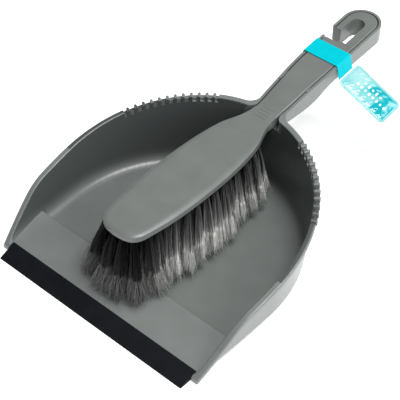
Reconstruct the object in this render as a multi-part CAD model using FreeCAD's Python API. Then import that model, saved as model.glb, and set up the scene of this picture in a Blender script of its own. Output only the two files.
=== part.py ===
import FreeCAD, Part
import math
import os

V = FreeCAD.Vector

# Dust pan with a nesting hand brush, held together by a card band with a hang tag.
# Millimetres. +X is to the right seen from the lip, +Y from the lip to the hook end, +Z up.
# The model is built with y = 0 at the lip's front edge and moved at the end, so that the origin
# is the centre of the footprint on the floor.

# ---------------------------------------------------------------- driving dimensions
LENGTH = 362.0            # lip to hook end
LIP_HALF = 97.0           # half the width of the lip's front edge
LIP_DEPTH = 16.5          # rubber strip, front to back
LIP_CLEAR = 0.1           # rubber strip to side wall
TONGUE_INSET = 2.0        # tongue end to strip end
WALL = 2.2                # pan wall and floor
BACK_CENTRE_Y = 95.0      # centre of the oval back of the pan
BACK_STRETCH = 7.0        # how much deeper than wide the oval is
FLOOR_RADIUS = 103.5      # inside of the pan's walls at floor level, beside the centre
FRONT_HALF = 98.2         # inside of the side walls at the front, at floor level
FLARE = 0.105             # how far the walls lean out for each mm of height
FRONT_Y = 10.5            # front end of the side walls
WALL_TOP_Z = 90.0         # height up to which the wall cone is lofted before trimming
FLOOR_FILLET = 9.0
BASE_FILLET = 10.5

RIM_TIP_Z = 4.0           # rim height at the front end
RIM_KINK_Y = 53.0         # where the rim turns from steep to gentle
RIM_KINK_Z = 37.4
RIM_BLEND = 11.0          # rounding of that turn, along y
RIM_SLOPE = 0.212         # rise of the rim behind the kink
FLANGE_HALF = 113.5       # outside of the rim flange, beside the centre
FLANGE_DEPTH = 123.0      # outside of the rim flange, behind the centre
FLANGE_FRONT_HALF = 103.8
FLANGE_THICK = 3.6
RIM_ROUND = 1.2           # rounding of the rim's inner and outer edges

RAMP_FRONT_Z = 5.4        # ramp behind the lip
CREST_Y = 53.5
CREST_Z = 9.6
RAMP_REAR_Y = 58.4        # where the ramp's rear slope meets the floor
RAMP_RIB_HALF = 0.8
RAMP_RIBS_X = (-72.0, -36.0, 0.0, 36.0, 72.0)

# side profiles as (y, z): the space under the ramp sheet, the tongue that the rubber strip is
# pushed on, and the strip itself
RAMP_ROOM = ((19.0, -1.0), (19.0, 3.3), (50.0, 7.5), (53.6, 4.6), (55.6, -1.0))
TONGUE = ((9.5, 1.5), (9.5, 2.8), (16.5, 4.6), (19.5, 5.0), (19.5, 3.4), (16.5, 3.3))
STRIP = ((0.0, 0.0), (0.0, 0.8), (16.5, 5.6), (16.5, 2.0), (6.0, 0.0))

TEETH = 12                # comb teeth on each side
TOOTH_FIRST_DEG = 28.6
TOOTH_STEP_DEG = 3.31
TOOTH_WIDTH = 2.6
TOOTH_HEIGHT = 5.5
TOOTH_LENGTH = 10.0
TOOTH_PROUD = 0.7         # how far a tooth stands out past the flange
TOOTH_ROUND = 0.9         # rounding of a tooth's upper edges
COMB_DROP_IN = 4.8        # how far the rim is lowered between the teeth, at its inner edge
COMB_DROP_OUT = 2.8       # and outside it
COMB_INNER = 3.3          # the inner part starts this far inside the flange's edge
COMB_MARGIN = 0.62        # lowered part beyond the last teeth, in tooth steps
COMB_REACH = 13.0         # its reach to either side of the flange's edge

BRUSH_TOP_Z = 71.5        # flat back of the brush block
BLOCK_BOTTOM = 65.6
EDGE_ROUND = 0.4          # rounding of the block's side edge
BEVEL_RADIUS = 9.1        # soft bevel round the back of the block
NECK_Y = 214.0            # where the handle starts to rise
BLEND_Y = 190.0           # front end of what blends pan and handle
ROOT_Y = 205.0            # front end of both handles, inside what they are joined to
NECK_HALF = 10.9          # half width of the brush at the neck
NECK_RADIUS_OUT = 11.0    # concave corner between flange and pan handle
NECK_RADIUS_IN = 9.0      # rounded corner where the trough opens into the pan
MID_Y = 251.0
MID_HALF = 12.7
STRAIGHT_Y = 281.0        # from here to the hook the handle has constant width
GRIP_HALF = 14.1
GRIP_ROUND = 1.2          # rounding of the brush handle's upper edges
GAP = 1.0                 # clearance between brush handle and pan handle
TROUGH_WALL = 2.3
TROUGH_FLOOR = 2.0
TROUGH_OPEN = 30.0        # how far the trough is cut open above the handle
BRUSH_CLEAR = 0.4         # brush underside above the trough floor
HANDLE_ROUND = 2.4        # rounding along the pan handle's lower edges
TOP_STEP = 0.5            # the pan handle's edge lies this much below the brush's top
SHELL = 2.0               # wall of the hollow brush handle
RIB_FIRST_Y = 236.0
RIB_STEP = 13.0
RIBS = 6
RIB_HALF = 0.7
ROOM_FRONT_Y = 224.0      # front end of the hollow

# right half of the block's plan and of the wider plan that its bevel is rolled on, nose to
# neck, as poles of four cubic curves end to end
BLOCK_POLES = ((0.0, 36.2), (20.5, 36.2), (19.6, 46.0), (22.4, 62.0), (25.0, 77.0),
               (26.2, 100.0), (25.9, 126.0), (25.67, 146.0), (23.6, 166.0), (20.0, 180.0),
               (17.6, 189.3), (11.2, 197.0), (10.9, 214.0))
BEVEL_POLES = ((0.0, 32.1), (25.0, 32.1), (24.5, 44.0), (26.6, 62.0), (28.35, 77.0),
               (30.3, 100.0), (30.0, 126.0), (29.77, 146.0), (28.6, 163.0), (26.4, 180.0),
               (25.0, 191.0), (20.5, 199.0), (20.2, 214.0))

# side profile of the handle, front to back: height of its back and of the pan's underside
HANDLE_BACK = ((214.0, 71.5), (236.0, 74.9), (251.0, 78.0), (281.0, 82.7), (320.0, 86.8),
               (362.0, 90.5))
UNDERSIDE = ((244.0, 59.2), (257.0, 60.4), (265.5, 62.8), (274.0, 66.4), (287.0, 68.6),
             (362.0, 73.0))

HOLE_RADIUS = 6.8         # hanging hole in the hook end, open to the left
HOLE_REAR_Y = 339.8
HOLE_FRONT_Y = 314.0
HOLE_X = -1.0
MOUTH_FRONT_Y = 311.6
MOUTH_REAR_Y = 326.0
MOUTH_STEP = 1.6          # the pan's mouth edge lies this much behind the brush's

BUMP_LENGTH = 11.0        # snap bumps inside the trough
BUMP_HEIGHT = 4.6
BUMP_PROUD = 0.5
BUMP_Y = 249.5
BUMP_Z = 73.5
BUMP_TURN_DEG = 2.7
RIDGES = 4                # thumb ridges across the neck
RIDGE_FIRST_Y = 206.5
RIDGE_STEP = 4.0
RIDGE_HALF = 5.3
RIDGE_RADIUS = 0.95
NECK_RISE = 0.012         # rise of the back behind the neck, per mm squared

BAND_FRONT_Y = 286.6
BAND_WIDTH = 18.6
BAND_THICK = 0.5
BAND_CLEAR = 0.25
BAND_TOP_Z = 83.8         # inside of the band's top at its front edge
BAND_LOW_Z = 71.4         # lower edge of its sides
BAND_FLARE = 2.8          # how far each side stands out at its lower edge
BAND_ROUND = 1.0
SLIDE_SLOPE = 0.10        # rise of the band's way along the handles
TAG_LENGTH = 51.0
TAG_WIDTH = 28.5
TAG_THICK = 0.6
TAG_BORDER = 2.2
TAG_RIDGE = 0.25          # height of the border above each face
TAG_CORNER = 4.0
TAG_DROOP_DEG = 26.0
TAG_SHIFT_Y = 3.0
TAG_GAP = 0.7             # tag edge to hinge line
TAG_HANG = 0.8            # hinge line below the band's edge

RANKS = 15                # rows of tufts across the block
RANK_FIRST_Y = 43.5
RANK_STEP = 10.1
TUFT_STEP_X = 8.6
TUFT_EDGE = 3.8           # outermost tuft centre to the block's side, at least
TUFT_RADIUS = 2.0
TUFT_HOLE_RADIUS = 2.1
TUFT_DEPTH = 4.4
TIP_HALF_X = 6.3
TIP_HALF_Y = 5.0
TIP_SPREAD_X = 1.68
TIP_FRONT_Y = 27.0
TIP_REAR_Y = 192.0
TIP_Z = 5.0
TIP_ABOVE_RAMP = 1.4
ANCHOR_THICK = 0.4        # staple that holds a tuft in its hole
ANCHOR_HEIGHT = 1.4
FIT = 0.05                # play between tuft, staple and hole

TALL = 200.0              # cutting bodies: longer, wider and lower than what they cut
WIDE = 300.0
BELOW = 10.0
BISECTIONS = 40

OUTER_HALF = GRIP_HALF + GAP + TROUGH_WALL
HOOK_CENTRE_Y = LENGTH - OUTER_HALF


# ---------------------------------------------------------------- small helpers
def save(node, shape):
    """Move a finished piece from lip coordinates to the row frame and write it."""
    moved = shape.copy()
    moved.translate(V(0, -LENGTH / 2, 0))
    moved.exportStep("parts/" + node + ".step")


def line(a, b):
    return Part.LineSegment(a, b).toShape()


def arc(a, b, c):
    return Part.Arc(a, b, c).toShape()


def spline(points, start=None, end=None):
    curve = Part.BSplineCurve()
    if start is None:
        curve.interpolate(points)
    else:
        curve.interpolate(Points=points, InitialTangent=start, FinalTangent=end)
    return curve.toShape()


def bezier(poles):
    curve = Part.BezierCurve()
    curve.setPoles(poles)
    return curve


def face(edges):
    return Part.Face(Part.Wire(edges))


def mirrored(shape):
    return shape.mirror(V(0, 0, 0), V(1, 0, 0))


def across(edges):
    """Solid from a closed side profile (edges in the YZ plane) extruded over the whole width."""
    profile = face(edges)
    profile.translate(V(-WIDE / 2, 0, 0))
    return profile.extrude(V(WIDE, 0, 0))


def polygon_across(points):
    corners = [V(0, y, z) for y, z in points]
    corners.append(corners[0])
    profile = Part.Face(Part.makePolygon(corners))
    profile.translate(V(-WIDE / 2, 0, 0))
    return profile.extrude(V(WIDE, 0, 0))


def box(x0, x1, y0, y1, z0, z1):
    return Part.makeBox(x1 - x0, y1 - y0, z1 - z0, V(x0, y0, z0))


def clean(shape):
    merged = shape.removeSplitter()
    if len(merged.Solids) == 1:
        return merged.Solids[0]
    return merged


# ---------------------------------------------------------------- plan outlines
def side_arc(front_half, radius, y_front, z, side):
    """Arc from the front corner to the oval back, running straight back where they meet."""
    run = BACK_CENTRE_Y - y_front
    step = radius - front_half
    bend = (run * run + step * step) / (2 * step)
    y_mid = (y_front + BACK_CENTRE_Y) / 2
    x_mid = radius - bend + math.sqrt(bend * bend - (BACK_CENTRE_Y - y_mid) ** 2)
    return arc(V(side * front_half, y_front, z), V(side * x_mid, y_mid, z),
               V(side * radius, BACK_CENTRE_Y, z))


def oval_back(radius, depth, z):
    centre = V(0, BACK_CENTRE_Y, z)
    oval = Part.Ellipse(V(0, BACK_CENTRE_Y + depth, z), V(radius, BACK_CENTRE_Y, z), centre)
    ends = sorted([oval.parameter(V(-radius, BACK_CENTRE_Y, z)),
                   oval.parameter(V(radius, BACK_CENTRE_Y, z))])
    rear = oval.parameter(V(0, BACK_CENTRE_Y + depth, z))
    if ends[0] < rear < ends[1]:
        return Part.ArcOfEllipse(oval, ends[0], ends[1]).toShape()
    return Part.ArcOfEllipse(oval, ends[1], ends[0] + 2 * math.pi).toShape()


def pan_outline(front_half, radius, depth, y_front, z):
    left = side_arc(front_half, radius, y_front, z, -1)
    right = side_arc(front_half, radius, y_front, z, 1)
    front = line(V(front_half, y_front, z), V(-front_half, y_front, z))
    return Part.Wire(Part.__sortEdges__([left, oval_back(radius, depth, z), right, front]))


def oval_point(radius, depth, t):
    """Point of the oval at parameter t, and the angle of its outward normal there."""
    point = V(radius * math.cos(t), BACK_CENTRE_Y + depth * math.sin(t), 0)
    return point, math.atan2(radius * math.sin(t), depth * math.cos(t))


def neck_corner(half, radius, depth, corner_radius):
    """Where a concave corner arc between the oval and the line x = half touches the oval,
    and its centre."""
    low, high = math.radians(45), math.radians(90)
    for _ in range(BISECTIONS):
        t = (low + high) / 2
        touch, turn = oval_point(radius, depth, t)
        centre = touch + V(math.cos(turn), math.sin(turn), 0) * corner_radius
        if centre.x > half + corner_radius:
            low = t
        else:
            high = t
    return touch, centre


def wall_cone(offset, z0, z1):
    """Solid inside the wall surface that lies `offset` outside the wall's inner face."""
    wires = []
    for z in (z0, z1):
        lean = FLARE * z + offset
        radius = FLOOR_RADIUS + lean
        wires.append(pan_outline(FRONT_HALF + lean, radius, radius + BACK_STRETCH, 0, z))
    return Part.makeLoft(wires, True, True)


def handle_half_outline(extra):
    """Right half of the handle's plan, from the neck to the hook: spline, then straight."""
    return [
        V(NECK_HALF + extra, NECK_Y, 0),
        V(NECK_HALF + 0.9 + extra, (NECK_Y + MID_Y) / 2, 0),
        V(MID_HALF + extra, MID_Y, 0),
        V(GRIP_HALF + extra, STRAIGHT_Y, 0),
    ]


def handle_edges(extra, y_front):
    """Edges from the right front corner round the hook end to the left front corner."""
    side = handle_half_outline(extra)
    ahead = V(0, 1, 0)
    right = spline(side, ahead, ahead)
    left = mirrored(right)
    half = GRIP_HALF + extra
    edges = [right, left]
    edges.append(line(V(half, STRAIGHT_Y, 0), V(half, HOOK_CENTRE_Y, 0)))
    edges.append(line(V(-half, STRAIGHT_Y, 0), V(-half, HOOK_CENTRE_Y, 0)))
    edges.append(arc(V(half, HOOK_CENTRE_Y, 0), V(0, HOOK_CENTRE_Y + half, 0),
                     V(-half, HOOK_CENTRE_Y, 0)))
    if y_front < NECK_Y:
        front_half = NECK_HALF + extra
        edges.append(line(V(front_half, y_front, 0), V(front_half, NECK_Y, 0)))
        edges.append(line(V(-front_half, y_front, 0), V(-front_half, NECK_Y, 0)))
    return edges


def handle_prism(extra, y_front):
    edges = handle_edges(extra, y_front)
    half = NECK_HALF + extra
    edges.append(line(V(half, y_front, 0), V(-half, y_front, 0)))
    plan = face(Part.__sortEdges__(edges))
    return plan.extrude(V(0, 0, TALL))


# ---------------------------------------------------------------- side profiles
def rim_z(y):
    return RIM_KINK_Z + RIM_SLOPE * (y - RIM_KINK_Y)


def rim_turn(drop):
    """The rounded turn of the rim line between its steep and its gentle part."""
    steep = (RIM_KINK_Z - RIM_TIP_Z) / (RIM_KINK_Y - FRONT_Y)
    a = V(0, RIM_KINK_Y - RIM_BLEND, RIM_KINK_Z - steep * RIM_BLEND - drop)
    b = V(0, RIM_KINK_Y + RIM_BLEND, RIM_KINK_Z + RIM_SLOPE * RIM_BLEND - drop)
    return bezier([a, V(0, RIM_KINK_Y, RIM_KINK_Z - drop), b])


def rim_height(y):
    """Height of the rim line at y."""
    if y > RIM_KINK_Y + RIM_BLEND:
        return rim_z(y)
    if y < RIM_KINK_Y - RIM_BLEND:
        return RIM_TIP_Z + (RIM_KINK_Z - RIM_TIP_Z) * (y - FRONT_Y) / (RIM_KINK_Y - FRONT_Y)
    return rim_turn(0).value((y - RIM_KINK_Y + RIM_BLEND) / (2 * RIM_BLEND)).z


def rim_prism(drop):
    """Everything below the rim surface, lowered by `drop`."""
    turn = rim_turn(drop)
    a = turn.value(0)
    b = turn.value(1)
    tip = V(0, FRONT_Y, RIM_TIP_Z - drop)
    back = V(0, LENGTH, rim_z(LENGTH) - drop)
    low_back = V(0, LENGTH, -BELOW)
    low_front = V(0, FRONT_Y, -BELOW)
    edges = [line(tip, a), turn.toShape(), line(b, back), line(back, low_back)]
    edges.append(line(low_back, low_front))
    edges.append(line(low_front, tip))
    return across(edges)


def handle_band(y_front, drop, lift):
    """Side profile of the handle between its back and its underside, as a solid across."""
    back = [V(0, y, z - drop) for y, z in HANDLE_BACK]
    under = [V(0, y, z + lift) for y, z in UNDERSIDE]
    front_top = V(0, y_front, back[0].z)
    front_low = V(0, y_front, under[0].z)
    edges = [line(front_low, front_top), line(front_top, back[0])]
    edges.append(spline(back, V(0, 1, 0.05), V(0, 1, 0.055)))
    edges.append(line(back[-1], under[-1]))
    edges.append(spline(under, V(0, 1, 0), V(0, 1, 0.06)))
    edges.append(line(under[0], front_low))
    return across(edges)


def ramp_z(y):
    """Height of the ramp's upper face between the lip and its crest."""
    share = (y - LIP_DEPTH) / (CREST_Y - LIP_DEPTH)
    return RAMP_FRONT_Z + (CREST_Z - RAMP_FRONT_Z) * share


# ---------------------------------------------------------------- pan
def ramp_profile():
    """Solid below the ramp's and the floor's upper face."""
    front = V(0, 0, RAMP_FRONT_Z)
    low = V(0, LIP_DEPTH, RAMP_FRONT_Z)
    crest = V(0, CREST_Y - 1.0, CREST_Z)
    foot = V(0, RAMP_REAR_Y, WALL)
    drop = bezier([crest, V(0, CREST_Y + 2.0, CREST_Z + 0.25), V(0, RAMP_REAR_Y - 3.4, WALL),
                   foot])
    edges = [line(front, low), line(low, crest), drop.toShape()]
    back = V(0, LENGTH, WALL)
    low_back = V(0, LENGTH, -BELOW)
    low_front = V(0, 0, -BELOW)
    edges.append(line(foot, back))
    edges.append(line(back, low_back))
    edges.append(line(low_back, low_front))
    edges.append(line(low_front, front))
    return across(edges)


def ramp_hollow():
    """Space under the ramp sheet, crossed by stiffening ribs that run front to back."""
    hollow = polygon_across(RAMP_ROOM).common(wall_cone(-1.0, -2.0, 20.0))
    ribs = [box(x - RAMP_RIB_HALF, x + RAMP_RIB_HALF, 0, BACK_CENTRE_Y, -BELOW, TALL)
            for x in RAMP_RIBS_X]
    return hollow.cut(ribs)


def tongue():
    """Thin front edge that the rubber strip is pushed on, parallel to the strip's top."""
    half = LIP_HALF - TONGUE_INSET
    return polygon_across(TONGUE).common(box(-half, half, 0, CREST_Y, 0, TALL))


def comb_sector(inside, outside):
    """Plan of the comb on the right, between two distances from the flange's edge."""
    margin = TOOTH_STEP_DEG * COMB_MARGIN
    span = (TEETH - 1) * TOOTH_STEP_DEG + 2 * margin
    near = []
    far = []
    for share in (0.0, 0.25, 0.5, 0.75, 1.0):
        t = math.radians(TOOTH_FIRST_DEG - margin + span * share)
        point, turn = oval_point(FLANGE_HALF, FLANGE_DEPTH, t)
        way = V(math.cos(turn), math.sin(turn), 0)
        near.append(point + way * inside)
        far.append(point + way * outside)
    edges = [spline(near), line(near[-1], far[-1]), spline(far[::-1]), line(far[0], near[0])]
    return face(edges).extrude(V(0, 0, TALL))


def comb_cut():
    """Right half of what lowers the rim between the comb teeth, deeper at its inner edge."""
    inner = comb_sector(-COMB_REACH, -COMB_INNER).cut(rim_prism(COMB_DROP_IN))
    outer = comb_sector(-COMB_INNER, COMB_REACH).cut(rim_prism(COMB_DROP_OUT))
    return inner.fuse(outer)


def comb_teeth(cavity):
    """Radial bars on the right half of the rim, flush with its surface."""
    teeth = []
    rim = rim_prism(0).cut(rim_prism(TOOTH_HEIGHT))
    half = TOOTH_WIDTH / 2
    tip = TOOTH_PROUD - half
    for i in range(TEETH):
        t = math.radians(TOOTH_FIRST_DEG + i * TOOTH_STEP_DEG)
        point, turn = oval_point(FLANGE_HALF, FLANGE_DEPTH, t)
        bar = box(TOOTH_PROUD - TOOTH_LENGTH, tip, -half, half, 0, TALL)
        bar = bar.fuse(Part.makeCylinder(half, TALL, V(tip, 0, 0)))
        bar.rotate(V(0, 0, 0), V(0, 0, 1), math.degrees(turn))
        bar.translate(point)
        bar = bar.common(rim)
        sides = [e for e in bar.Edges if e.BoundBox.DiagonalLength > TOOTH_LENGTH * 0.6
                 and e.CenterOfMass.z > rim_z(e.CenterOfMass.y) - 0.1]
        teeth.append(bar.makeFillet(TOOTH_ROUND, sides).cut(cavity))
    return teeth


def corner_face(half, touch, centre, corner_radius, x_low, y_low):
    """Plan of a corner filled by a concave arc, with straight sides at x_low and y_low."""
    a1 = math.atan2(touch.y - centre.y, touch.x - centre.x) + 2 * math.pi
    am = (math.pi + a1) / 2
    middle = centre + V(math.cos(am), math.sin(am), 0) * corner_radius
    root = V(half, centre.y, 0)
    edges = [line(V(x_low, y_low, 0), V(touch.x, y_low, 0)), line(V(touch.x, y_low, 0), touch)]
    edges.append(arc(touch, middle, root))
    edges.append(line(root, V(x_low, centre.y, 0)))
    edges.append(line(V(x_low, centre.y, 0), V(x_low, y_low, 0)))
    return face(edges)


def gusset():
    """Right half of the flange's blend into the handle."""
    half = NECK_HALF + GAP + TROUGH_WALL
    touch, centre = neck_corner(half, FLANGE_HALF, FLANGE_DEPTH, NECK_RADIUS_OUT)
    plan = corner_face(half, touch, centre, NECK_RADIUS_OUT, 0.0, BLEND_Y)
    return plan.extrude(V(0, 0, TALL))


def entry_corner():
    """What is cut off the right corner where the trough opens into the pan."""
    half = NECK_HALF + GAP
    radius = FLOOR_RADIUS + FLARE * rim_z(BACK_CENTRE_Y + FLOOR_RADIUS)
    touch, centre = neck_corner(half, radius, radius + BACK_STRETCH, NECK_RADIUS_IN)
    plan = corner_face(half, touch, centre, NECK_RADIUS_IN, NECK_HALF, BLEND_Y)
    return plan.extrude(V(0, 0, TALL))


def hook_hole(grow, mouth_front, mouth_rear):
    """Hanging hole with its side mouth, cut through the hook end."""
    r = HOLE_RADIUS + grow
    hole = box(HOLE_X - r, HOLE_X + r, HOLE_FRONT_Y - grow, HOLE_REAR_Y, 0, TALL)
    ring = Part.makeCylinder(r, TALL, V(HOLE_X, HOLE_REAR_Y, 0))
    mouth = box(-2 * OUTER_HALF, HOLE_X, mouth_front - grow, mouth_rear + grow, 0, TALL)
    return hole.fuse([ring, mouth])


def snap_bumps():
    """Two low bumps inside the trough that hold the brush handle in place."""
    bump = box(-BUMP_PROUD, TROUGH_WALL / 2, 0, BUMP_LENGTH, BUMP_Z, BUMP_Z + BUMP_HEIGHT)
    bump.rotate(V(0, 0, 0), V(0, 0, 1), -BUMP_TURN_DEG)
    bump.translate(V(MID_HALF + GAP, BUMP_Y, 0))
    return [bump, mirrored(bump)]


def lower_edges(handle):
    """Edges along both sides of the handle's underside."""
    picked = []
    for e in handle.Edges:
        b = e.BoundBox
        limit = 68.0 if b.YMax < STRAIGHT_Y + 1 else 75.0
        if b.ZMax < limit and b.YLength > 2.0:
            picked.append(e)
    return picked


def rim_edges(body):
    """Inner and outer edges of the rim's upper surface."""
    picked = []
    for e in body.Edges:
        middle = e.valueAt((e.FirstParameter + e.LastParameter) / 2)
        ends = [v.Point for v in e.Vertexes]
        level = [abs(p.z - rim_height(p.y)) < 0.02 for p in ends + [middle]]
        if all(level) and e.BoundBox.YLength > 1.0:
            picked.append(e)
    return picked


def make_pan():
    outer = wall_cone(WALL, 0.0, WALL_TOP_Z)
    base_edges = [e for e in outer.Edges if e.BoundBox.ZMax < 0.01 and e.BoundBox.YMax > 1.0]
    outer = outer.makeFillet(BASE_FILLET, base_edges)
    cavity = wall_cone(0.0, WALL, WALL_TOP_Z + 5)
    floor_edges = [e for e in cavity.Edges
                   if e.BoundBox.ZMax < WALL + 0.01 and e.BoundBox.YMax > 1.0]
    cavity = cavity.makeFillet(FLOOR_FILLET, floor_edges)
    cavity = cavity.cut(ramp_profile())

    below_rim = rim_prism(0)
    rim_slab = below_rim.cut(rim_prism(FLANGE_THICK))
    flange_plan = pan_outline(FLANGE_FRONT_HALF, FLANGE_HALF, FLANGE_DEPTH, FRONT_Y - 1, 0)
    flange = Part.Face(flange_plan).extrude(V(0, 0, TALL))
    corner = gusset()
    flange = clean(flange.fuse([corner, mirrored(corner)]).common(rim_slab))
    body = clean(outer.common(below_rim).fuse(flange).cut(cavity))
    body = body.makeFillet(RIM_ROUND, rim_edges(body))
    above_handle = box(-FLANGE_HALF, FLANGE_HALF, BLEND_Y, LENGTH, BLOCK_BOTTOM, TALL)
    above_handle = above_handle.cut(handle_band(BLEND_Y, TOP_STEP, -BLOCK_BOTTOM))
    lowered = comb_cut()
    body = body.cut([above_handle, lowered, mirrored(lowered)])

    handle = handle_prism(GAP + TROUGH_WALL, ROOT_Y).common(handle_band(ROOT_Y, TOP_STEP, 0.0))
    handle = handle.makeFillet(HANDLE_ROUND, lower_edges(handle))
    ahead = box(-OUTER_HALF, OUTER_HALF, BLEND_Y, NECK_Y, 0, TALL).cut(below_rim)
    body = body.fuse(handle.cut([ahead, cavity]))

    corner = entry_corner()
    trough = handle_prism(GAP, BLEND_Y).fuse([corner, mirrored(corner)])
    body = body.cut(trough.common(handle_band(BLEND_Y, -TROUGH_OPEN, TROUGH_FLOOR)))

    teeth = comb_teeth(cavity)
    body = body.fuse(teeth + [mirrored(bar) for bar in teeth])

    body = body.cut(ramp_hollow())
    room_half = FRONT_HALF + LIP_CLEAR
    front_room = box(-room_half, room_half, 0, LIP_DEPTH, -BELOW, TALL)
    body = body.cut(front_room).fuse(tongue())
    body = body.cut(hook_hole(0.0, MOUTH_FRONT_Y + MOUTH_STEP, MOUTH_REAR_Y + MOUTH_STEP))
    return clean(body.fuse(snap_bumps()))


# ---------------------------------------------------------------- rubber lip
def make_lip():
    rear_half = FRONT_HALF - LIP_CLEAR
    plan = Part.Face(Part.makePolygon([V(-LIP_HALF, 0, 0), V(LIP_HALF, 0, 0),
                                       V(rear_half, LIP_DEPTH, 0), V(-rear_half, LIP_DEPTH, 0),
                                       V(-LIP_HALF, 0, 0)]))
    strip = polygon_across(STRIP).common(plan.extrude(V(0, 0, TALL)))
    return clean(strip.cut(tongue()))


# ---------------------------------------------------------------- brush
def outline_curves(poles):
    """Cubic curves end to end through every third pole."""
    return [bezier([V(x, y, 0) for x, y in poles[i:i + 4]]) for i in range(0, len(poles) - 1, 3)]


def half_width(y):
    """Half the block's width at y."""
    for curve in outline_curves(BLOCK_POLES):
        if y <= curve.value(1).y:
            break
    low, high = 0.0, 1.0
    for _ in range(BISECTIONS):
        middle = (low + high) / 2
        if curve.value(middle).y < y:
            low = middle
        else:
            high = middle
    return curve.value(low).x


def outline_prism(poles, z0, z1):
    """Upright solid on the symmetrical outline whose right half has these poles."""
    right = [c.toShape() for c in outline_curves(poles)]
    edges = right + [mirrored(e) for e in right]
    end_half = poles[-1][0]
    edges.append(line(V(-end_half, NECK_Y, 0), V(end_half, NECK_Y, 0)))
    plan = face(Part.__sortEdges__(edges))
    plan.translate(V(0, 0, z0))
    return plan.extrude(V(0, 0, z1 - z0))


def make_block():
    """Flat back, soft bevel, and a low upright side that meets it in an edge."""
    rolled = outline_prism(BEVEL_POLES, 0, BRUSH_TOP_Z)
    top = [e for e in rolled.Edges if e.BoundBox.ZMin > BRUSH_TOP_Z - 0.01
           and e.BoundBox.YMin < NECK_Y - 1]
    rolled = rolled.makeFillet(BEVEL_RADIUS, top)
    block = outline_prism(BLOCK_POLES, BLOCK_BOTTOM, BRUSH_TOP_Z).common(rolled)
    side_top = BRUSH_TOP_Z - 2 * EDGE_ROUND
    ridge = [e for e in block.Edges if e.BoundBox.ZMin > BLOCK_BOTTOM + 1
             and e.BoundBox.ZMax < side_top and e.BoundBox.YMin < BLOCK_POLES[-4][1] - 1]
    return block.makeFillet(EDGE_ROUND, ridge)


def make_handle():
    solid = handle_prism(0.0, ROOT_Y)
    solid = solid.common(handle_band(ROOT_Y, 0.0, TROUGH_FLOOR + BRUSH_CLEAR))
    upper = [e for e in solid.Edges if e.BoundBox.ZMin > BRUSH_TOP_Z - 0.01
             and e.BoundBox.YMax > NECK_Y + 1 and e.BoundBox.YLength > 1.0]
    return solid.makeFillet(GRIP_ROUND, upper)


def handle_cavity():
    """Space inside the hollow handle, open below and crossed by ribs."""
    room = handle_prism(-SHELL, ROOT_Y).common(handle_band(ROOT_Y, SHELL, -TROUGH_OPEN))
    room = room.common(box(-GRIP_HALF, GRIP_HALF, ROOM_FRONT_Y, LENGTH, 0, TALL))
    walls = [hook_hole(SHELL, MOUTH_FRONT_Y, MOUTH_REAR_Y)]
    for k in range(RIBS):
        y = RIB_FIRST_Y + RIB_STEP * k
        walls.append(box(-GRIP_HALF, GRIP_HALF, y - RIB_HALF, y + RIB_HALF, 0, TALL))
    return room.cut(walls)


def thumb_ridges():
    ridges = []
    for k in range(RIDGES):
        y = RIDGE_FIRST_Y + RIDGE_STEP * k
        z = BRUSH_TOP_Z - RIDGE_RADIUS / 2 + NECK_RISE * max(0.0, y - NECK_Y) ** 2
        start = V(-RIDGE_HALF, y, z)
        ridges.append(Part.makeCylinder(RIDGE_RADIUS, 2 * RIDGE_HALF, start, V(1, 0, 0)))
    return ridges


def tuft_places():
    """For each rank, the roots of its tufts and where their tips spread to."""
    ranks = []
    for i in range(RANKS):
        y = RANK_FIRST_Y + RANK_STEP * i
        count = int((half_width(y) - TUFT_EDGE) * 2 / TUFT_STEP_X) + 1
        share = i / (RANKS - 1.0)
        tip_y = TIP_FRONT_Y + (TIP_REAR_Y - TIP_FRONT_Y) * share
        rank = []
        for j in range(count):
            x = (j - (count - 1) / 2.0) * TUFT_STEP_X
            rank.append((x, y, x * TIP_SPREAD_X, tip_y))
        ranks.append(rank)
    return ranks


def make_brush():
    body = make_block().fuse(make_handle())
    body = body.cut(handle_cavity())
    body = body.cut(hook_hole(0.0, MOUTH_FRONT_Y, MOUTH_REAR_Y))
    body = body.fuse(thumb_ridges())
    holes = []
    for rank in tuft_places():
        for x, y, _, _ in rank:
            holes.append(Part.makeCylinder(TUFT_HOLE_RADIUS, TUFT_DEPTH + 1,
                                           V(x, y, BLOCK_BOTTOM - 1)))
    body = body.cut(Part.makeCompound(holes))
    return clean(body)


# ---------------------------------------------------------------- tufts and their anchors
def tip_height(y):
    """Tips hang just above the floor, and above the ramp in front."""
    if y > RAMP_REAR_Y + TIP_HALF_Y:
        return TIP_Z
    return ramp_z(min(y, CREST_Y)) + TIP_ABOVE_RAMP


def make_tuft(x, y, tip_x, tip_y):
    """Round root in the block and a leaning, slightly flattened cone of bristles below it."""
    tip_z = tip_height(tip_y)
    height = BLOCK_BOTTOM - tip_z
    lean = FreeCAD.Matrix()
    lean.A22 = TIP_HALF_Y / TIP_HALF_X
    lean.A13 = (x - tip_x) / height
    lean.A23 = (y - tip_y) / height
    lean.A14 = tip_x
    lean.A24 = tip_y
    lean.A34 = tip_z
    cone = Part.makeCone(TIP_HALF_X, TUFT_RADIUS - FIT, height).transformGeometry(lean)
    root = Part.makeCylinder(TUFT_RADIUS, TUFT_DEPTH - 2 * FIT, V(x, y, BLOCK_BOTTOM))
    slot_half = ANCHOR_THICK / 2 + FIT
    slot_z = BLOCK_BOTTOM + TUFT_DEPTH - ANCHOR_HEIGHT - 3 * FIT
    slot = box(x - TIP_HALF_X, x + TIP_HALF_X, y - slot_half, y + slot_half, slot_z, TALL)
    return clean(root.cut(slot).fuse(cone))


def make_anchor(x, y):
    half = TUFT_RADIUS + FIT
    top_z = BLOCK_BOTTOM + TUFT_DEPTH - 2 * FIT
    return box(x - half, x + half, y - ANCHOR_THICK / 2, y + ANCHOR_THICK / 2,
               top_z - ANCHOR_HEIGHT, top_z)


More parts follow.
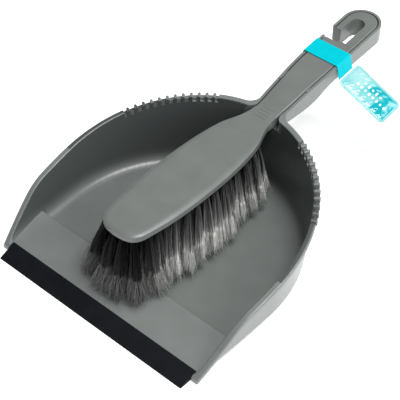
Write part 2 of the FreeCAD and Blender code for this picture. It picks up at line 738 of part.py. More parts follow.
# ---------------------------------------------------------------- band and tag
def band_ring(half, top, round_r, low):
    """Closed outline of an upside-down U's outside, in the plane of the band's front edge."""
    y = BAND_FRONT_Y
    k = round_r * (1 - math.sqrt(0.5))
    foot_right = V(half + BAND_FLARE, y, low)
    foot_left = V(-half - BAND_FLARE, y, low)
    right = V(half, y, top - round_r)
    left = V(-half, y, top - round_r)
    edges = [line(foot_right, right), arc(right, V(half - k, y, top - k), V(half - round_r, y, top))]
    edges.append(line(V(half - round_r, y, top), V(-half + round_r, y, top)))
    edges.append(arc(V(-half + round_r, y, top), V(-half + k, y, top - k), left))
    edges.append(line(left, foot_left))
    edges.append(line(foot_left, foot_right))
    return face(edges)


def make_band():
    way = V(0, BAND_WIDTH, BAND_WIDTH * SLIDE_SLOPE)
    inner_half = OUTER_HALF + BAND_CLEAR
    outer_half = inner_half + BAND_THICK
    outer = band_ring(outer_half, BAND_TOP_Z + BAND_THICK, BAND_ROUND + BAND_THICK, BAND_LOW_Z)
    inner = band_ring(inner_half, BAND_TOP_Z, BAND_ROUND, BAND_LOW_Z)
    return clean(outer.extrude(way).cut(inner.extrude(way)))


def rounded_plate(x0, x1, half, corner, z0, z1):
    plate = box(x0, x1, -half, half, z0, z1)
    upright = [e for e in plate.Edges if abs(e.BoundBox.ZLength - (z1 - z0)) < 1e-6
               and e.BoundBox.XLength < 1e-6 and e.BoundBox.YLength < 1e-6]
    return plate.makeFillet(corner, upright)


def make_tag():
    """Flexible plate with a thick border on both faces, hung from the band's lower right edge."""
    half = TAG_WIDTH / 2
    thick = TAG_THICK / 2
    high = thick + TAG_RIDGE
    frame = rounded_plate(TAG_GAP, TAG_LENGTH, half, TAG_CORNER, -high, high)
    window = rounded_plate(TAG_GAP + TAG_BORDER, TAG_LENGTH - TAG_BORDER, half - TAG_BORDER,
                           TAG_CORNER - TAG_BORDER, -TAG_LENGTH, TAG_LENGTH)
    panel = rounded_plate(TAG_GAP, TAG_LENGTH, half, TAG_CORNER, -thick, thick)
    tag = clean(frame.cut(window).fuse(panel))
    tag.rotate(V(0, 0, 0), V(0, 1, 0), TAG_DROOP_DEG)
    tag.rotate(V(0, 0, 0), V(1, 0, 0), math.degrees(math.atan(SLIDE_SLOPE)))
    tag.translate(tag_hinge())
    return tag


def tag_hinge():
    y = BAND_FRONT_Y + BAND_WIDTH / 2 + TAG_SHIFT_Y
    x = OUTER_HALF + BAND_CLEAR + BAND_THICK + BAND_FLARE
    z = BAND_LOW_Z + SLIDE_SLOPE * (y - BAND_FRONT_Y) - TAG_HANG
    return V(x, y, z)


# ---------------------------------------------------------------- build
def main():
    os.makedirs("parts", exist_ok=True)
    save("pan_body", make_pan())
    save("rubber_lip", make_lip())
    save("brush_stock", make_brush())
    save("band", make_band())
    save("tag", make_tag())
    anchors = []
    for number, rank in enumerate(tuft_places(), start=1):
        tufts = [make_tuft(*place) for place in rank]
        save("bristle_rank_%02d" % number, Part.makeCompound(tufts))
        anchors.append([make_anchor(x, y) for x, y, _, _ in rank])
    third = RANKS // 3
    for k, name in enumerate(("anchors_front", "anchors_middle", "anchors_rear")):
        group = []
        for rank in anchors[k * third:(k + 1) * third]:
            group.extend(rank)
        save(name, Part.makeCompound(group))


main()
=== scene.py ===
import math
import bmesh
import bpy
import numpy as np
from mathutils import Matrix, Vector


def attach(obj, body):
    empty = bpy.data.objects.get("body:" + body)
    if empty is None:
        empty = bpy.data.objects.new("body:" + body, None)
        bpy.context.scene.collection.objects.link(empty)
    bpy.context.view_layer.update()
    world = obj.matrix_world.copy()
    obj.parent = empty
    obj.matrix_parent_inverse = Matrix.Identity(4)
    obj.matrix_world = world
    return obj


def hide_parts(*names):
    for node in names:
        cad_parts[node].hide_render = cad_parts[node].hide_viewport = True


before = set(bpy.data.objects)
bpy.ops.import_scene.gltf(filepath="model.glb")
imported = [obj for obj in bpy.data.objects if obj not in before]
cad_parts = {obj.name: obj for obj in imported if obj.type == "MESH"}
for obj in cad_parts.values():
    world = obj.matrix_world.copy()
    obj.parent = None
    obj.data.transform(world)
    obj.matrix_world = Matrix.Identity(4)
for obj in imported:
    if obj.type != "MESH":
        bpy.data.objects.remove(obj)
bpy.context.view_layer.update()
RANDOM = np.random.default_rng(20731)

MM = 0.001
RANKS = sorted(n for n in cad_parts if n.startswith("bristle_rank_"))
ANCHORS = sorted(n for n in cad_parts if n.startswith("anchors_"))

CAMERA_AT = (0.44777, -0.56016, 0.70872)
CAMERA_AZIMUTH = 0.71888
CAMERA_ELEVATION = 0.78400
CAMERA_LENS = 107.27
SENSOR = 36.0

FLOOR_HALF = 4.0
FLOOR_GLOW = 0.40
WORLD_LIGHT = 0.20
# name, place, side length, power
LIGHTS = (("key", (1.2, -0.25, 0.8), 0.8, 8.5),
          ("rear_right", (0.75, 1.05, 0.85), 0.6, 5.5),
          ("overhead", (0.34, 0.08, 1.45), 0.7, 22.5))

# darkest and lightest tone of each moulding
BRUSH_GREY = ((0.130, 0.142, 0.135), (0.148, 0.160, 0.153))
PAN_GREY = ((0.150, 0.162, 0.155), (0.168, 0.180, 0.173))
# the pan's inside is a little darker than its outside: painted shade inside the pan
PAN_INSIDE_SHADED_GREY = ((0.128, 0.140, 0.133), (0.142, 0.154, 0.147))
# painted shade: the inside's colour turns to this darker wall tone between the two heights below
PAN_WALL_PAINTED_SHADE = (0.062, 0.069, 0.068)
SHADE_FROM_Z = 3.0 * MM           # the inside turns to the wall shade between these heights
SHADE_FULL_Z = 16.0 * MM
PLASTIC_ROUGH = (0.28, 0.36)
SATIN_GRAIN = 0.08
TEXTURED_GRAIN = 0.15
GRAIN_DEPTH = 0.1 * MM

# root of a tuft
BLOCK_TUFT_Z = 65.6 * MM          # underside of the brush block
ROOT_SINK = 3.0 * MM              # the fibres start this far inside the block
ROOT_RADIUS = 1.72 * MM
# numbers of fibres
FIBRES_PER_TUFT = 130
CLUMPS_PER_TUFT = 30
SPLITS = 2                        # fine ends that branch off each fibre
# mesh of a fibre
FIBRE_RADIUS = 0.19 * MM
SPLIT_RADIUS = 0.12 * MM
FIBRE_TAPER = 0.35                # part of the radius lost at the tip
SPLIT_TAPER = 0.40
FIBRE_STEPS = 9
SPLIT_STEPS = 4
SPLIT_FROM = FIBRE_STEPS - 3      # the ring of the fibre where its fine ends start
FIBRE_SIDES = 3
# gathering into clumps, in parts of the tuft's half width
CLUMP_REACH = 0.90
CLUMP_PULL = 0.92
OWN_REACH = 0.12
SCATTER = 0.10
# tips; the front ranks fan out, and more so to the left
FRONT_RANKS = 4
TIP_HALF = (7.056 * MM, 5.6 * MM)
SPREAD = 0.82
FAN_LEFT = 0.50
FAN_RIGHT = 0.16
FAN_ROUNDING = 9.0 * MM           # the front tips stand this much further back at the sides
FAN_HALF = 22.0 * MM
LIFT = 6.0 * MM                   # height of the tips above the CAD tuft's end
FRONT_DROP = 1.8 * MM
CLUMP_LIFT = 1.6 * MM
FIBRE_LIFT = 1.2 * MM
MOST_LIFT = 11.0 * MM
LEAST_HEIGHT = 0.6 * MM
# curves
BOW = 0.19
WAVE = 0.7 * MM
WAVE_PACE = (3, 7)
WAVE_PHASE = 6
CURL = 1.2 * MM
FRONT_CURL = 1.2 * MM
CURL_FROM = 0.74                  # part of the fibre's length after which it curls
SPLIT_THROW = 1.25
SPLIT_BEND = 0.55
# tone of the fibres, 0 to 1, and where along them the pale end starts; the front ranks get painted
# shade, darker and pale later
TONE_LOW = 0.08
CLUMP_TONE = 0.85
FIBRE_TONE = 0.12
# painted shade: share by which the front ranks' tone is darkened
FRONT_PAINTED_SHADE = 0.92
# painted shade: the front ranks' pale end starts this much later
FRONT_PAINTED_SHADE_LATE = 0.12
LATE_SCATTER = 0.04
SPLIT_AHEAD = 0.05
SPLIT_BRIGHTER = 0.10

# the pan's inner surface: an oval back and slightly bowed sides, both leaning out
LIP_Y = -181.0 * MM               # the lip's front edge; the other y values start from it
FRONT_Y = 17.0 * MM
CREST_Y = 53.5 * MM
BACK_Y = 95.0 * MM
INNER_RADIUS = 103.5 * MM
BACK_STRETCH = 7.0 * MM
FRONT_HALF = 98.2 * MM
FLARE = 0.105
FLOOR_TOP = 2.0 * MM
CHANNEL_Z = 62.0 * MM             # just above the floor of the channel in the handle
FACES_UP = 0.9                    # a normal's z above this is level ground
FACES_DOWN = -0.2
OVAL_SLACK = 1.004
SIDE_SLACK = 0.2 * MM

TAG_HINGE = Vector((0.02095, 0.1179, 0.07183))
TAG_DROOP = math.radians(26.0)
TAG_RISE = math.atan(0.10)
TAG_GAP = 0.7 * MM
TAG_LENGTH = 51.0 * MM
TAG_HALF = 14.25 * MM
TAG_HALF_U = (TAG_LENGTH - TAG_GAP) / 2
TAG_CORNER = 4.0 * MM
TAG_SEAL = 2.3 * MM               # width of the welded border
TAG_COLUMNS = 120
TAG_ROWS = 68
FILM_HALF = 0.24 * MM
PUFF = 1.45 * MM
PUFF_RISE = 6.0 * MM              # the pouch reaches its full height this far inside the border
CREASE = 0.11 * MM
CREASE_PITCH = 900                # radians for each metre
CREASE_SWAY = 420
RIDGE = 0.14 * MM                 # bead along the middle of the border
RIDGE_HALF = 0.35 * MM
# rows of marks: distance from the middle line, first mark, count
MARK_ROWS = ((3.6 * MM, -8.5 * MM, 5), (-1.9 * MM, -13.0 * MM, 8))
MARK_PITCH = 4.3 * MM
MARK_RADIUS = 0.95 * MM
MARK_STRETCH = (0.25 * MM, 0.75 * MM)


# ---------------------------------------------------------------- node helpers
def new_material(name):
    material = bpy.data.materials.new(name)
    material.use_nodes = True
    tree = material.node_tree
    return material, tree, tree.nodes["Principled BSDF"]


def node(tree, kind, **inputs):
    made = tree.nodes.new(kind)
    for key, value in inputs.items():
        made.inputs[key.replace("_", " ")].default_value = value
    return made


def noise(tree, scale, detail=3.0, rough=0.5):
    place = tree.nodes.new("ShaderNodeTexCoord")
    made = node(tree, "ShaderNodeTexNoise", Scale=scale, Detail=detail, Roughness=rough)
    tree.links.new(place.outputs["Object"], made.inputs["Vector"])
    return made.outputs["Fac"]


def ramp(tree, source, stops):
    made = tree.nodes.new("ShaderNodeValToRGB")
    elements = made.color_ramp.elements
    while len(elements) < len(stops):
        elements.new(0.5)
    for element, (at, colour) in zip(elements, stops):
        element.position = at
        element.color = (*colour, 1.0)
    tree.links.new(source, made.inputs["Fac"])
    return made.outputs["Color"]


def bump(tree, shader, height, strength, distance):
    made = node(tree, "ShaderNodeBump", Strength=strength, Distance=distance)
    tree.links.new(height, made.inputs["Height"])
    tree.links.new(made.outputs["Normal"], shader.inputs["Normal"])


def attribute(tree, name):
    made = tree.nodes.new("ShaderNodeAttribute")
    made.attribute_name = name
    return made.outputs["Fac"]


def colour_mix(tree, kind):
    """A colour mixing node with its inputs and output: factor, A, B, result."""
    made = tree.nodes.new("ShaderNodeMix")
    made.data_type = "RGBA"
    made.blend_type = kind
    return made.inputs["Factor"], made.inputs[6], made.inputs[7], made.outputs[2]


def blended(tree, factor, source, colour):
    """The source turned into the colour where the factor is 1."""
    share, a, b, result = colour_mix(tree, "MIX")
    tree.links.new(factor, share)
    tree.links.new(source, a)
    b.default_value = (*colour, 1.0)
    return result


def multiplied(tree, one, other):
    share, a, b, result = colour_mix(tree, "MULTIPLY")
    share.default_value = 1.0
    tree.links.new(one, a)
    tree.links.new(other, b)
    return result


# ---------------------------------------------------------------- materials
def plastic(name, tones, grain, painted_wall_shade=None):
    """Moulded plastic with faint mottling. With a wall shade given, it is painted darker above the
    floor, as shade on the walls.
    """
    material, tree, shader = new_material(name)
    mottle = noise(tree, scale=55.0, detail=4.0)
    colour = ramp(tree, mottle, [(0.3, tones[0]), (0.7, tones[1])])
    # painted shade: the colour darkens with height above the floor
    if painted_wall_shade:
        place = tree.nodes.new("ShaderNodeTexCoord")
        split = tree.nodes.new("ShaderNodeSeparateXYZ")
        tree.links.new(place.outputs["Object"], split.inputs["Vector"])
        height = node(tree, "ShaderNodeMapRange", From_Min=SHADE_FROM_Z, From_Max=SHADE_FULL_Z)
        tree.links.new(split.outputs["Z"], height.inputs["Value"])
        colour = blended(tree, height.outputs["Result"], colour, painted_wall_shade)
    tree.links.new(colour, shader.inputs["Base Color"])
    rough = node(tree, "ShaderNodeMapRange", To_Min=PLASTIC_ROUGH[0], To_Max=PLASTIC_ROUGH[1])
    tree.links.new(noise(tree, scale=240.0, detail=2.0), rough.inputs["Value"])
    tree.links.new(rough.outputs["Result"], shader.inputs["Roughness"])
    shader.inputs["Specular IOR Level"].default_value = 0.5
    bump(tree, shader, noise(tree, scale=2600.0, detail=2.0), grain, GRAIN_DEPTH)
    return material


def black_rubber():
    material, tree, shader = new_material("black_rubber")
    mottle = noise(tree, scale=90.0, detail=4.0)
    colour = ramp(tree, mottle, [(0.3, (0.003, 0.004, 0.006)), (0.75, (0.006, 0.007, 0.009))])
    tree.links.new(colour, shader.inputs["Base Color"])
    shader.inputs["Roughness"].default_value = 0.5
    shader.inputs["Specular IOR Level"].default_value = 0.12
    bump(tree, shader, noise(tree, scale=1500.0), 0.15, GRAIN_DEPTH)
    return material


def staple_wire():
    material, tree, shader = new_material("staple_wire")
    mottle = noise(tree, scale=700.0)
    colour = ramp(tree, mottle, [(0.3, (0.45, 0.45, 0.45)), (0.7, (0.62, 0.62, 0.61))])
    tree.links.new(colour, shader.inputs["Base Color"])
    shader.inputs["Metallic"].default_value = 1.0
    shader.inputs["Roughness"].default_value = 0.4
    return material


def fibre_material():
    """Dark filament that turns pale and fluffy at its split end."""
    material, tree, shader = new_material("bristle_fibre")
    body = ramp(tree, attribute(tree, "along"), [
        (0.0, (0.03, 0.03, 0.031)), (0.25, (0.17, 0.171, 0.171)), (0.50, (0.42, 0.422, 0.42)),
        (0.66, (0.95, 0.95, 0.93)), (1.0, (1.3, 1.3, 1.27))])
    # the tone attribute also carries the front ranks' painted shade
    light = ramp(tree, attribute(tree, "tone_and_shade"), [
        (0.0, (0.02, 0.02, 0.022)), (0.5, (0.66, 0.66, 0.66)), (1.0, (1.0, 1.0, 1.0))])
    tree.links.new(multiplied(tree, body, light), shader.inputs["Base Color"])
    shader.inputs["Roughness"].default_value = 0.45
    shader.inputs["Specular IOR Level"].default_value = 0.07
    return material


def band_material():
    material, tree, shader = new_material("teal_band")
    mottle = noise(tree, scale=120.0)
    colour = ramp(tree, mottle, [(0.3, (0.0, 0.42, 0.49)), (0.7, (0.0, 0.46, 0.54))])
    tree.links.new(colour, shader.inputs["Base Color"])
    shader.inputs["Roughness"].default_value = 0.42
    shader.inputs["Specular IOR Level"].default_value = 0.06
    bump(tree, shader, noise(tree, scale=420.0, detail=2.0), 0.1, 0.2 * MM)
    return material


def tag_film():
    """Pale film over a teal liquid that gathers in patches, with two rows of white marks."""
    material, tree, shader = new_material("clear_teal_film")
    swirl = noise(tree, scale=34.0, detail=2.5)
    liquid = ramp(tree, swirl, [
        (0.0, (0.0, 0.32, 0.38)), (0.45, (0.0, 0.37, 0.43)), (0.47, (0.13, 0.50, 0.52)),
        (0.55, (0.24, 0.57, 0.58)), (0.65, (0.34, 0.62, 0.62))])
    sealed = blended(tree, attribute(tree, "seal"), liquid, (0.24, 0.55, 0.56))
    marked = blended(tree, attribute(tree, "print"), sealed, (0.90, 0.92, 0.92))
    tree.links.new(marked, shader.inputs["Base Color"])
    shader.inputs["Roughness"].default_value = 0.12
    shader.inputs["Coat Weight"].default_value = 0.6
    shader.inputs["Coat Roughness"].default_value = 0.05
    shader.inputs["Transmission Weight"].default_value = 0.15
    shader.inputs["IOR"].default_value = 1.4
    return material


# ---------------------------------------------------------------- mesh helpers
def mesh_object(name, verts, faces, material, smooth=True):
    mesh = bpy.data.meshes.new(name)
    mesh.from_pydata(verts, [], faces)
    mesh.polygons.foreach_set("use_smooth", [smooth] * len(mesh.polygons))
    mesh.materials.append(material)
    mesh.update()
    made = bpy.data.objects.new(name, mesh)
    bpy.context.scene.collection.objects.link(made)
    return made


def point_values(piece, name, values):
    layer = piece.data.attributes.new(name, "FLOAT", "POINT")
    layer.data.foreach_set("value", np.asarray(values, dtype=np.float32).reshape(-1))


def paint(name, material):
    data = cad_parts[name].data
    data.materials.clear()
    data.materials.append(material)


# ---------------------------------------------------------------- bristles
def islands(mesh):
    """The points of each solid in a mesh."""
    part = bmesh.new()
    part.from_mesh(mesh)
    bmesh.ops.remove_doubles(part, verts=part.verts, dist=1e-6)
    left = set(part.verts)
    while left:
        stack = [left.pop()]
        island = []
        while stack:
            vert = stack.pop()
            island.append(vert.co.copy())
            for edge in vert.link_edges:
                other = edge.other_vert(vert)
                if other in left:
                    left.remove(other)
                    stack.append(other)
        yield np.array(island)
    part.free()


def box_centre(points):
    return (points.min(0) + points.max(0)) / 2


def tuft_frames(name):
    """Root and tip centres of each tuft of a rank, read from the rank's solids."""
    tufts = []
    for points in islands(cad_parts[name].data):
        tip = points[points[:, 2] < points[:, 2].min() + 1e-5]
        root = points[points[:, 2] > BLOCK_TUFT_Z]
        tufts.append((box_centre(root), box_centre(tip)))
    return sorted(tufts, key=lambda t: t[0][0])


def tube_strands(paths, radii, sides):
    """Closed thin tubes along many paths: paths is strands x rings x 3, radii strands x rings."""
    count, rings, _ = paths.shape
    ahead = np.gradient(paths, axis=1)
    ahead /= np.linalg.norm(ahead, axis=2, keepdims=True)
    side = np.cross(ahead, np.array([0.31, 0.93, 0.2]))
    side /= np.linalg.norm(side, axis=2, keepdims=True)
    other = np.cross(ahead, side)
    turn = np.arange(sides) * 2 * math.pi / sides
    ring = (side[:, :, None, :] * np.cos(turn)[None, None, :, None]
            + other[:, :, None, :] * np.sin(turn)[None, None, :, None])
    verts = paths[:, :, None, :] + ring * radii[:, :, None, None]
    first = np.arange(count) * rings * sides
    base = first[:, None, None]
    row = (np.arange(rings - 1) * sides)[None, :, None]
    here = np.arange(sides)[None, None, :]
    there = (np.arange(sides) + 1)[None, None, :] % sides
    quads = np.stack([base + row + here, base + row + there, base + row + sides + there,
                      base + row + sides + here], axis=3).reshape(-1, 4)
    starts = first[:, None] + np.arange(sides)[::-1][None, :]
    ends = first[:, None] + (rings - 1) * sides + np.arange(sides)[None, :]
    faces = quads.tolist() + starts.tolist() + ends.tolist()
    return verts.reshape(-1, 3), faces


def disc_points(count, reach):
    """Random points in a level disc of the given radius."""
    distance = np.sqrt(RANDOM.random(count)) * reach
    turn = RANDOM.random(count) * 2 * math.pi
    return np.stack([np.cos(turn), np.sin(turn), np.zeros(count)], axis=1) * distance[:, None]


def tuft_ends(root, tip, in_front):
    """Start and end of each fibre of a tuft, and the clump that it belongs to."""
    n = FIBRES_PER_TUFT
    disc = disc_points(n, 1.0)
    centres = disc_points(CLUMPS_PER_TUFT, CLUMP_REACH)
    clump = np.argmin(((disc[:, None, :] - centres[None]) ** 2).sum(2), axis=1)
    gathered = centres[clump] * CLUMP_PULL + disc * OWN_REACH
    gathered += SCATTER * RANDOM.normal(size=(n, 3)) * np.array([1, 1, 0])
    start = np.array([root[0], root[1], BLOCK_TUFT_Z + ROOT_SINK]) + disc * ROOT_RADIUS
    spread = SPREAD + (FAN_LEFT if tip[0] < 0 else FAN_RIGHT) * in_front
    rounding = in_front * FAN_ROUNDING * (tip[0] / FAN_HALF) ** 2
    end = np.array([tip[0] * spread, tip[1] + rounding, tip[2]])
    end = end + gathered * np.array([*TIP_HALF, 0])
    clump_lift = RANDOM.normal(size=CLUMPS_PER_TUFT) * CLUMP_LIFT
    lift = clump_lift[clump] + RANDOM.normal(size=n) * FIBRE_LIFT + LIFT - FRONT_DROP * in_front
    end[:, 2] += np.clip(lift, 0.0, MOST_LIFT)
    return start, end, clump


def tuft_strands(root, tip, curl_size, in_front):
    """Centre lines of one tuft's fibres, gathered in a few clumps, and each fibre's tone, darkened
    as painted shade in the front ranks.
    """
    n = FIBRES_PER_TUFT
    start, end, clump = tuft_ends(root, tip, in_front)
    chord = end - start
    along = np.linspace(0, 1, FIBRE_STEPS + 1)[None, :, None]
    paths = start[:, None, :] + chord[:, None, :] * along
    bow = np.stack([chord[:, 0], chord[:, 1], np.zeros(n)], axis=1) * BOW
    paths += bow[:, None, :] * np.sin(math.pi * along) * (1 - along)
    wave = RANDOM.normal(size=(n, 1, 3)) * np.array([1, 1, 0.2]) * WAVE
    pace = RANDOM.uniform(*WAVE_PACE, size=(n, 1, 1))
    paths += wave * np.sin(along * pace + RANDOM.random((n, 1, 1)) * WAVE_PHASE) * along
    curl = RANDOM.normal(size=(n, 1, 3)) * np.array([1, 1, 0.4]) * curl_size
    paths += curl * np.clip((along - CURL_FROM) / (1 - CURL_FROM), 0, 1) ** 2
    clump_tone = RANDOM.random(CLUMPS_PER_TUFT)
    tone_and_shade = CLUMP_TONE * clump_tone[clump] + TONE_LOW + FIBRE_TONE * RANDOM.normal(size=n)
    # painted shade: the front ranks' tone is darkened
    return paths, np.clip(tone_and_shade, 0, 1) * (1 - FRONT_PAINTED_SHADE * in_front)


def split_strands(paths, curl_size):
    """Fine ends that leave each fibre near its tip."""
    root = np.repeat(paths[:, SPLIT_FROM, :], SPLITS, axis=0)
    end = np.repeat(paths[:, -1, :], SPLITS, axis=0)
    n = len(root)
    throw = RANDOM.normal(size=(n, 3)) * np.array([1, 1, 0.55])
    end = end + throw * curl_size * SPLIT_THROW
    end[:, 2] = np.maximum(end[:, 2], LEAST_HEIGHT)
    bend = RANDOM.normal(size=(n, 1, 3)) * curl_size * SPLIT_BEND
    along = np.linspace(0, 1, SPLIT_STEPS + 1)[None, :, None]
    fine = root[:, None, :] + (end - root)[:, None, :] * along
    return fine + bend * np.sin(math.pi * along)


def each_side(values):
    """The values repeated for every corner of their ring."""
    return np.repeat(values.reshape(-1), FIBRE_SIDES)


def rank_fibres(number, name, material):
    """Replace a rank's tufts by fibres. The first few ranks fan out and are painted darker, as
    shade.
    """
    in_front = max(0.0, 1.0 - number / FRONT_RANKS)
    curl_size = CURL + FRONT_CURL * in_front
    strands = [tuft_strands(root, tip, curl_size, in_front) for root, tip in tuft_frames(name)]
    paths = np.concatenate([p for p, _ in strands])
    tone_and_shade = np.concatenate([t for _, t in strands])
    fine = split_strands(paths, curl_size)
    along = np.linspace(0, 1, FIBRE_STEPS + 1)
    fine_along = np.linspace(0, 1, SPLIT_STEPS + 1)

    thick = FIBRE_RADIUS * (1 - FIBRE_TAPER * along ** 3)
    thin = SPLIT_RADIUS * (1 - SPLIT_TAPER * fine_along)
    verts, faces = tube_strands(paths, np.tile(thick, (len(paths), 1)), FIBRE_SIDES)
    fine_verts, fine_faces = tube_strands(fine, np.tile(thin, (len(fine), 1)), FIBRE_SIDES)
    shift = len(verts)
    faces += [tuple(i + shift for i in f) for f in fine_faces]
    verts = np.concatenate([verts, fine_verts]).tolist()
    piece = mesh_object("fibres_" + name[-2:], verts, faces, material)

    # painted shade: the pale end starts later in the front ranks, keeping them dark for longer
    late = FRONT_PAINTED_SHADE_LATE * in_front + LATE_SCATTER * RANDOM.normal(size=len(paths))
    value = np.clip(along[None, :] - late[:, None], 0, 1)
    from_fibre = np.linspace(along[SPLIT_FROM], 1, SPLIT_STEPS + 1)
    fine_late = np.repeat(late, SPLITS)
    fine_value = np.clip(from_fibre[None, :] - fine_late[:, None] + SPLIT_AHEAD, 0, 1)
    point_values(piece, "along", np.concatenate([each_side(value), each_side(fine_value)]))
    fine_tone_and_shade = np.clip(np.repeat(tone_and_shade, SPLITS) + SPLIT_BRIGHTER, 0, 1)
    point_values(piece, "tone_and_shade", np.concatenate([
        each_side(np.repeat(tone_and_shade, FIBRE_STEPS + 1)),
        each_side(np.repeat(fine_tone_and_shade, SPLIT_STEPS + 1))]))

    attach(piece, "brush")
    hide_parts(name)


# ---------------------------------------------------------------- pan's inner faces
def on_inner_surface(point, normal):
    """Whether a face of the pan gets the darker inside material, painted shade: the inside behind
    the ramp's crest and the floor of the handle's channel.
    """
    y = point.y - LIP_Y
    level = normal.z > FACES_UP
    if (level and y < CREST_Y) or point.z < FLOOR_TOP or normal.z < FACES_DOWN:
        return False
    # painted shade: the floor of the handle's channel under the brush also gets the darker inside
    # material
    if level and y > BACK_Y and point.z < CHANNEL_Z:
        return True
    radius = INNER_RADIUS + FLARE * point.z
    if y > BACK_Y:
        across = point.x / radius
        back = (y - BACK_Y) / (radius + BACK_STRETCH)
        return across ** 2 + back ** 2 < OVAL_SLACK
    step = radius - (FRONT_HALF + FLARE * point.z)
    bend = (BACK_Y ** 2 + step ** 2) / (2 * step)
    half = radius - bend + math.sqrt(bend ** 2 - (BACK_Y - y) ** 2)
    return y > FRONT_Y and abs(point.x) < half + SIDE_SLACK


def paint_inside(name, material):
    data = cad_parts[name].data
    data.materials.append(material)
    for polygon in data.polygons:
        if on_inner_surface(polygon.center, polygon.normal):
            polygon.material_index = 1


# ---------------------------------------------------------------- tag
def rounded(u, v):
    """Pull a point of the plain rectangle's corner square into the rounded corner.

    Also gives its distance from the tag's edge.
    """
    a = abs(u) - (TAG_HALF_U - TAG_CORNER)
    b = abs(v) - (TAG_HALF - TAG_CORNER)
    if a <= 0 or b <= 0:
        return u, v, min(TAG_CORNER - a, TAG_CORNER - b)
    far = max(a, b)
    size = math.hypot(a, b)
    u = math.copysign(TAG_HALF_U - TAG_CORNER + a / size * far, u)
    v = math.copysign(TAG_HALF - TAG_CORNER + b / size * far, v)
    return u, v, TAG_CORNER - far


def pouch_height(u, v, depth):
    """Half thickness: flat at the welded border, puffed up and slightly creased inside."""
    inside = min(1.0, max(0.0, (depth - TAG_SEAL) / PUFF_RISE))
    crease = math.sin(u * CREASE_PITCH + math.sin(v * CREASE_SWAY) * 2.0)
    near_border = (1 - inside) * inside * 4
    ridge = math.exp(-((depth - TAG_SEAL * 0.35) / RIDGE_HALF) ** 2)
    return (FILM_HALF + math.sqrt(inside) * PUFF + ridge * RIDGE
            + crease * near_border * CREASE)


def printed(u, v):
    """Two rows of plain rounded marks along the tag."""
    for row_v, first, count in MARK_ROWS:
        for k in range(count):
            dv = max(0.0, abs(v - row_v) - MARK_STRETCH[k % 2])
            if math.hypot(u - first - k * MARK_PITCH, dv) < MARK_RADIUS:
                return 1.0
    return 0.0


def pouch_faces(shift):
    """Faces of the tag's grid: top, bottom and the strip that joins them at the edge."""
    line = TAG_ROWS + 1
    faces = []
    for i in range(TAG_COLUMNS):
        for j in range(TAG_ROWS):
            a = i * line + j
            b = a + line
            faces.append((a, b, b + 1, a + 1))
            faces.append((a + shift, a + 1 + shift, b + 1 + shift, b + shift))
    rim = [i * line for i in range(TAG_COLUMNS)]
    rim += [TAG_COLUMNS * line + j for j in range(TAG_ROWS)]
    rim += [i * line + TAG_ROWS for i in range(TAG_COLUMNS, 0, -1)]
    rim += list(range(TAG_ROWS, 0, -1))
    for a, b in zip(rim, rim[1:] + rim[:1]):
        faces.append((b, a, a + shift, b + shift))
    return faces


def make_pouch(material):
    along = Vector((math.cos(TAG_DROOP), math.sin(TAG_DROOP) * math.sin(TAG_RISE),
                    -math.sin(TAG_DROOP) * math.cos(TAG_RISE)))
    across = Vector((0, math.cos(TAG_RISE), math.sin(TAG_RISE)))
    out = along.cross(across)
    top, bottom, marks, seals = [], [], [], []
    for i in range(TAG_COLUMNS + 1):
        for j in range(TAG_ROWS + 1):
            u, v, depth = rounded((2 * i / TAG_COLUMNS - 1) * TAG_HALF_U,
                                  (2 * j / TAG_ROWS - 1) * TAG_HALF)
            height = pouch_height(u, v, depth)
            flat = TAG_HINGE + along * (u + TAG_HALF_U + TAG_GAP) + across * v
            top.append(flat + out * height)
            bottom.append(flat - out * height)
            marks.append(printed(u, v))
            seals.append(1.0 if depth < TAG_SEAL else 0.0)
    verts = [tuple(p) for p in top + bottom]
    piece = mesh_object("tag_pouch", verts, pouch_faces(len(top)), material)
    point_values(piece, "print", marks + [0.0] * len(bottom))
    point_values(piece, "seal", seals + seals)
    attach(piece, "tag")
    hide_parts("tag")


# ---------------------------------------------------------------- stage
def area_light(name, at, side, power):
    """Square softbox aimed at the origin."""
    light = bpy.data.lights.new(name, "AREA")
    light.shape = "RECTANGLE"
    light.size = light.size_y = side
    light.energy = power
    made = bpy.data.objects.new(name, light)
    bpy.context.scene.collection.objects.link(made)
    made.location = at
    made.rotation_euler = Vector(at).to_track_quat("Z", "Y").to_euler()


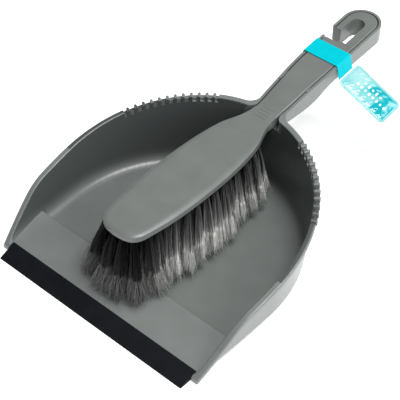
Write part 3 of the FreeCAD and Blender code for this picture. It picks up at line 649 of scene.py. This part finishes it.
def make_stage():
    material, _, shader = new_material("pale_floor")
    shader.inputs["Base Color"].default_value = (0.94, 0.94, 0.94, 1)
    shader.inputs["Roughness"].default_value = 0.9
    shader.inputs["Emission Color"].default_value = (1, 1, 1, 1)
    shader.inputs["Emission Strength"].default_value = FLOOR_GLOW
    corners = [(x * FLOOR_HALF, y * FLOOR_HALF, 0) for x, y in ((-1, -1), (1, -1), (1, 1), (-1, 1))]
    mesh_object("floor", corners, [(0, 1, 2, 3)], material, smooth=False)
    world = bpy.data.worlds.new("studio")
    bpy.context.scene.world = world
    world.use_nodes = True
    background = world.node_tree.nodes["Background"]
    background.inputs["Color"].default_value = (1, 1, 1, 1)
    background.inputs["Strength"].default_value = WORLD_LIGHT
    for name, at, side, power in LIGHTS:
        area_light(name, at, side, power)
    bpy.context.scene.view_settings.view_transform = "Standard"


def make_camera():
    az, el = CAMERA_AZIMUTH, CAMERA_ELEVATION
    right = Vector((math.cos(az), math.sin(az), 0))
    back = Vector((math.sin(az) * math.cos(el), -math.cos(az) * math.cos(el), math.sin(el)))
    up = back.cross(right)
    data = bpy.data.cameras.new("camera")
    data.lens = CAMERA_LENS
    data.sensor_width = SENSOR
    camera = bpy.data.objects.new("camera", data)
    bpy.context.scene.collection.objects.link(camera)
    turn = Matrix((right, up, back)).transposed().to_4x4()
    camera.matrix_world = Matrix.Translation(CAMERA_AT) @ turn
    bpy.context.scene.camera = camera


# ---------------------------------------------------------------- build
make_camera()
make_stage()
paint("pan_body", plastic("grey_plastic_pan", PAN_GREY, SATIN_GRAIN))
paint_inside("pan_body", plastic("grey_plastic_textured_painted_shade", PAN_INSIDE_SHADED_GREY, TEXTURED_GRAIN,
                                 PAN_WALL_PAINTED_SHADE))
paint("brush_stock", plastic("grey_plastic", BRUSH_GREY, SATIN_GRAIN))
paint("rubber_lip", black_rubber())
wire = staple_wire()
for anchor in ANCHORS:
    paint(anchor, wire)
paint("band", band_material())
make_pouch(tag_film())
fibre = fibre_material()
for count, rank in enumerate(RANKS):
    rank_fibres(count, rank, fibre)
